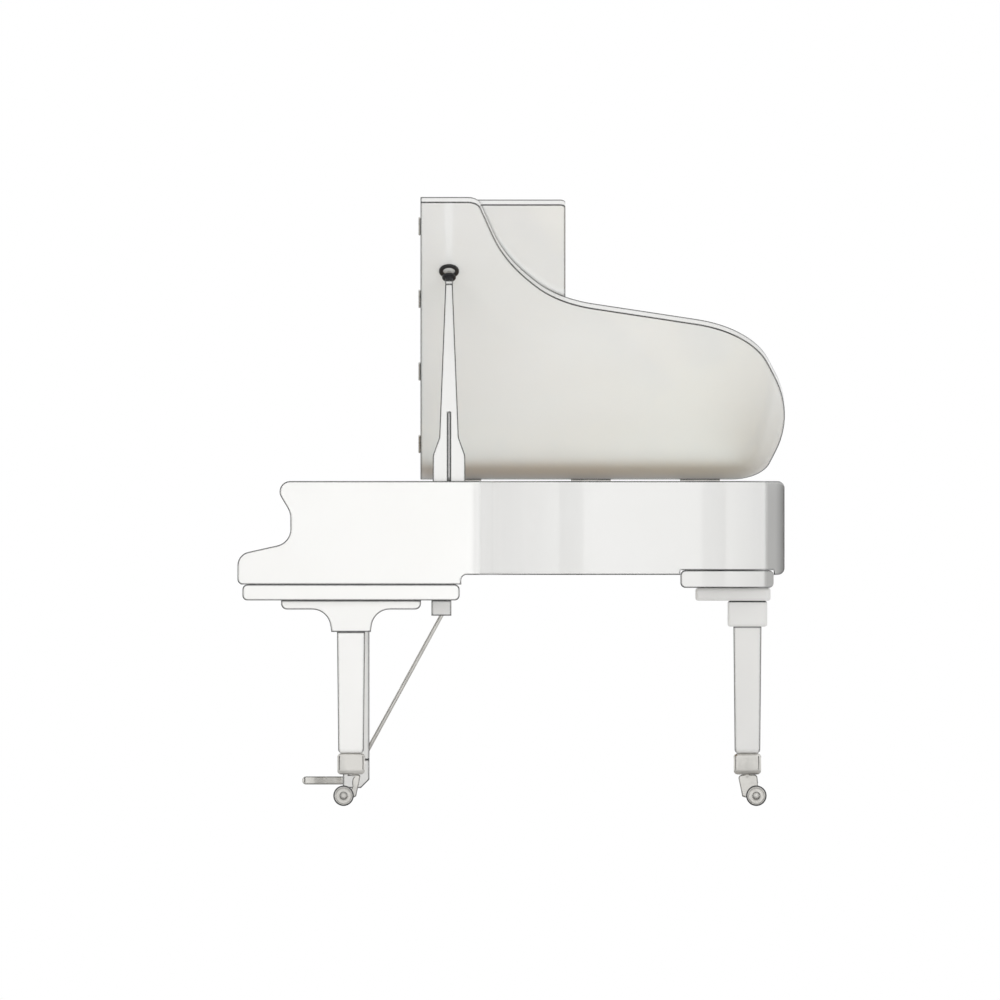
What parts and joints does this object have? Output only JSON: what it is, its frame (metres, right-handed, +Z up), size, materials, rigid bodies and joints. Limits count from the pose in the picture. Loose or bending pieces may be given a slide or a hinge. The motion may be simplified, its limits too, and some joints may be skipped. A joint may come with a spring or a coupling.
{
  "type": "grand piano",
  "caption": "Grand piano on caster legs, lid raised on its long prop with the front flap folded back, with keys, action, strings, iron plate, lyre and pedals.",
  "frame": {"origin": "on the floor under the middle of the case", "axes": "+X from bass to treble, +Y from the keyboard to the tail, +Z up"},
  "size_m": [1.5027, 1.6509, 1.8366],
  "materials": {
    "white_lacquer": "white high-gloss lacquer on laminated wood",
    "bare_timber": "clear satin varnish on beech and maple",
    "spruce": "satin varnish on quarter-sawn spruce",
    "gold_plate": "gold-bronze lacquer",
    "pin_steel": "nickelled pin steel",
    "string_steel": "drawn music wire",
    "string_copper": "copper winding",
    "hammer_felt": "pressed wool felt on a wood core",
    "damper_black": "black satin head with white felt under it",
    "key_white": "smooth white covering",
    "key_black": "satin black",
    "rail_brass": "satin extrusion",
    "black_fitting": "gloss black",
    "nickel": "polished nickel plate on brass"
  },
  "bodies": {
    "case": {"outer_rim": "white_lacquer", "keybed": "white_lacquer", "key_slip": "white_lacquer", "key_blocks": "white_lacquer", "stretcher": "white_lacquer", "front_leg_brackets": "white_lacquer", "rear_leg_beam": "white_lacquer", "rear_leg_blocks": "white_lacquer", "legs": "white_lacquer", "lyre_blocks": "white_lacquer", "lyre_posts": "white_lacquer", "pedal_box": "white_lacquer", "inner_rim": "bare_timber", "belly_rail": "bare_timber", "back_posts": "bare_timber", "pin_block": "bare_timber", "desk_runners": "bare_timber", "bridges": "bare_timber", "soundboard": "spruce", "soundboard_ribs": "spruce", "iron_plate": "gold_plate", "tuning_pins": "pin_steel", "treble_strings": "string_steel", "bass_strings": "string_copper", "leg_cuffs": "nickel", "lyre_braces": "nickel", "lid_hinge_rim_leaves": "nickel", "prop_bracket": "nickel"},
    "lid": {"lid_panel": "white_lacquer", "lid_leaves": "nickel", "prop_cup": "black_fitting"},
    "flap": {"lid_flap": "white_lacquer", "flap_leaves": "nickel"},
    "prop": {"lid_prop": "white_lacquer", "prop_tip": "black_fitting"},
    "short_prop": {"short_prop": "white_lacquer"},
    "fallboard": {"fallboard": "white_lacquer"},
    "tray": {"music_tray": "white_lacquer"},
    "desk": {"music_desk": "white_lacquer"},
    "key_frame": {"key_frame": "bare_timber", "action_rails": "rail_brass"},
    "white_keys": {"white_keys": "key_white"},
    "black_keys": {"black_keys": "key_black"},
    "white_whippens": {"white_whippens": "bare_timber"},
    "black_whippens": {"black_whippens": "bare_timber"},
    "white_hammers": {"white_hammers": "hammer_felt"},
    "black_hammers": {"black_hammers": "hammer_felt"},
    "dampers": {"dampers": "damper_black"},
    "soft_pedal": {"soft_pedal": "nickel"},
    "soft_pedal_rod": {"soft_pedal_rod": "nickel"},
    "sostenuto_pedal": {"sostenuto_pedal": "nickel"},
    "sostenuto_pedal_rod": {"sostenuto_pedal_rod": "nickel"},
    "sustain_pedal": {"sustain_pedal": "nickel"},
    "sustain_pedal_rod": {"sustain_pedal_rod": "nickel"},
    "front_left_caster_horn": {"front_left_caster_horn": "nickel"},
    "front_left_caster_wheels": {"front_left_caster_wheels": "nickel"},
    "front_right_caster_horn": {"front_right_caster_horn": "nickel"},
    "front_right_caster_wheels": {"front_right_caster_wheels": "nickel"},
    "rear_caster_horn": {"rear_caster_horn": "nickel"},
    "rear_caster_wheels": {"rear_caster_wheels": "nickel"}
  },
  "joints": [
    {"name": "lid_hinge", "type": "hinge", "parent": "case", "child": "lid", "pos_m": [-0.751, 0.2, 0.98075], "axis": [0, -1, 0], "range_deg": [0, 50]},
    {"name": "flap_hinge", "type": "hinge", "parent": "lid", "child": "flap", "pos_m": [-0.1416, -0.2762, 1.42021], "axis": [0.8281, 0, 0.5606], "range_deg": [0, 180]},
    {"name": "prop_fold", "type": "hinge", "parent": "case", "child": "prop", "pos_m": [0.69, -0.187, 0.95], "axis": [0, -1, 0], "range_deg": [0, 52]},
    {"name": "short_prop_swing", "type": "hinge", "parent": "prop", "child": "short_prop", "pos_m": [0.66785, -0.187, 0.98344], "axis": [0, 1, 0], "range_deg": [0, 45]},
    {"name": "fallboard_hinge", "type": "hinge", "parent": "case", "child": "fallboard", "pos_m": [0, -0.642, 0.772], "axis": [1, 0, 0], "range_deg": [0, 98]},
    {"name": "music_tray_slide", "type": "slide", "parent": "case", "child": "tray", "axis": [0, 1, 0], "range_m": [-0.045, 0.03]},
    {"name": "music_desk_tilt", "type": "hinge", "parent": "tray", "child": "desk", "pos_m": [0, -0.545, 0.9445], "axis": [1, 0, 0], "range_deg": [0, 70]},
    {"name": "key_frame_shift", "type": "slide", "parent": "case", "child": "key_frame", "axis": [1, 0, 0], "range_m": [0, 0.003]},
    {"name": "damper_lift", "type": "slide", "parent": "case", "child": "dampers", "axis": [0, 0, 1], "range_m": [0, 0.006]},
    {"name": "soft_pedal_press", "type": "hinge", "parent": "case", "child": "soft_pedal", "pos_m": [-0.068, -0.479, 0.077], "axis": [1, 0, 0], "range_deg": [0, 6], "stiffness_Nm_per_rad": 40, "springref_deg": -6.88},
    {"name": "soft_rod_lift", "type": "slide", "parent": "case", "child": "soft_pedal_rod", "axis": [0, 0, 1], "range_m": [0, 0.0036]},
    {"name": "sostenuto_pedal_press", "type": "hinge", "parent": "case", "child": "sostenuto_pedal", "pos_m": [0, -0.479, 0.077], "axis": [1, 0, 0], "range_deg": [0, 6], "stiffness_Nm_per_rad": 40, "springref_deg": -6.88},
    {"name": "sostenuto_rod_lift", "type": "slide", "parent": "case", "child": "sostenuto_pedal_rod", "axis": [0, 0, 1], "range_m": [0, 0.0036]},
    {"name": "sustain_pedal_press", "type": "hinge", "parent": "case", "child": "sustain_pedal", "pos_m": [0.068, -0.479, 0.077], "axis": [1, 0, 0], "range_deg": [0, 6], "stiffness_Nm_per_rad": 40, "springref_deg": -6.88},
    {"name": "sustain_rod_lift", "type": "slide", "parent": "case", "child": "sustain_pedal_rod", "axis": [0, 0, 1], "range_m": [0, 0.0036]},
    {"name": "white_key_press", "type": "hinge", "parent": "key_frame", "child": "white_keys", "pos_m": [0, -0.545, 0.6947], "axis": [1, 0, 0], "range_deg": [0, 2.34], "stiffness_Nm_per_rad": 60, "springref_deg": -5.73},
    {"name": "white_whippen_lift", "type": "hinge", "parent": "key_frame", "child": "white_whippens", "pos_m": [0, -0.34, 0.752], "axis": [-1, 0, 0], "range_deg": [0, 5.9]},
    {"name": "white_hammer_throw", "type": "hinge", "parent": "key_frame", "child": "white_hammers", "pos_m": [0, -0.452, 0.813], "axis": [1, 0, 0], "range_deg": [0, 20.1]},
    {"name": "black_key_press", "type": "hinge", "parent": "key_frame", "child": "black_keys", "pos_m": [0, -0.545, 0.6947], "axis": [1, 0, 0], "range_deg": [0, 2.34], "stiffness_Nm_per_rad": 60, "springref_deg": -5.73},
    {"name": "black_whippen_lift", "type": "hinge", "parent": "key_frame", "child": "black_whippens", "pos_m": [0, -0.34, 0.752], "axis": [-1, 0, 0], "range_deg": [0, 5.9]},
    {"name": "black_hammer_throw", "type": "hinge", "parent": "key_frame", "child": "black_hammers", "pos_m": [0, -0.452, 0.813], "axis": [1, 0, 0], "range_deg": [0, 20.1]},
    {"name": "front_left_caster_swivel", "type": "hinge", "parent": "case", "child": "front_left_caster_horn", "pos_m": [-0.64, -0.4825, 0.1], "axis": [0, 0, 1], "continuous": true},
    {"name": "front_left_caster_roll", "type": "hinge", "parent": "front_left_caster_horn", "child": "front_left_caster_wheels", "pos_m": [-0.64, -0.5051, 0.031], "axis": [1, 0, 0], "continuous": true},
    {"name": "front_right_caster_swivel", "type": "hinge", "parent": "case", "child": "front_right_caster_horn", "pos_m": [0.64, -0.4825, 0.1], "axis": [0, 0, 1], "continuous": true},
    {"name": "front_right_caster_roll", "type": "hinge", "parent": "front_right_caster_horn", "child": "front_right_caster_wheels", "pos_m": [0.64, -0.5051, 0.031], "axis": [1, 0, 0], "continuous": true},
    {"name": "rear_caster_swivel", "type": "hinge", "parent": "case", "child": "rear_caster_horn", "pos_m": [-0.35, 0.713, 0.1], "axis": [0, 0, 1], "continuous": true},
    {"name": "rear_caster_roll", "type": "hinge", "parent": "rear_caster_horn", "child": "rear_caster_wheels", "pos_m": [-0.35, 0.74, 0.031], "axis": [1, 0, 0], "continuous": true}
  ],
  "couplings": [
    {"joint": "soft_rod_lift", "follows": "soft_pedal_press", "m_per_rad": 0.034},
    {"joint": "sostenuto_rod_lift", "follows": "sostenuto_pedal_press", "m_per_rad": 0.034},
    {"joint": "sustain_rod_lift", "follows": "sustain_pedal_press", "m_per_rad": 0.034},
    {"joint": "key_frame_shift", "follows": "soft_pedal_press", "m_per_rad": 0.0286},
    {"joint": "damper_lift", "follows": "sustain_pedal_press", "m_per_rad": 0.0572},
    {"joint": "white_whippen_lift", "follows": "white_key_press", "ratio": 2.5},
    {"joint": "white_hammer_throw", "follows": "white_key_press", "ratio": 8.55},
    {"joint": "black_whippen_lift", "follows": "black_key_press", "ratio": 2.5},
    {"joint": "black_hammer_throw", "follows": "black_key_press", "ratio": 8.55}
  ]
}
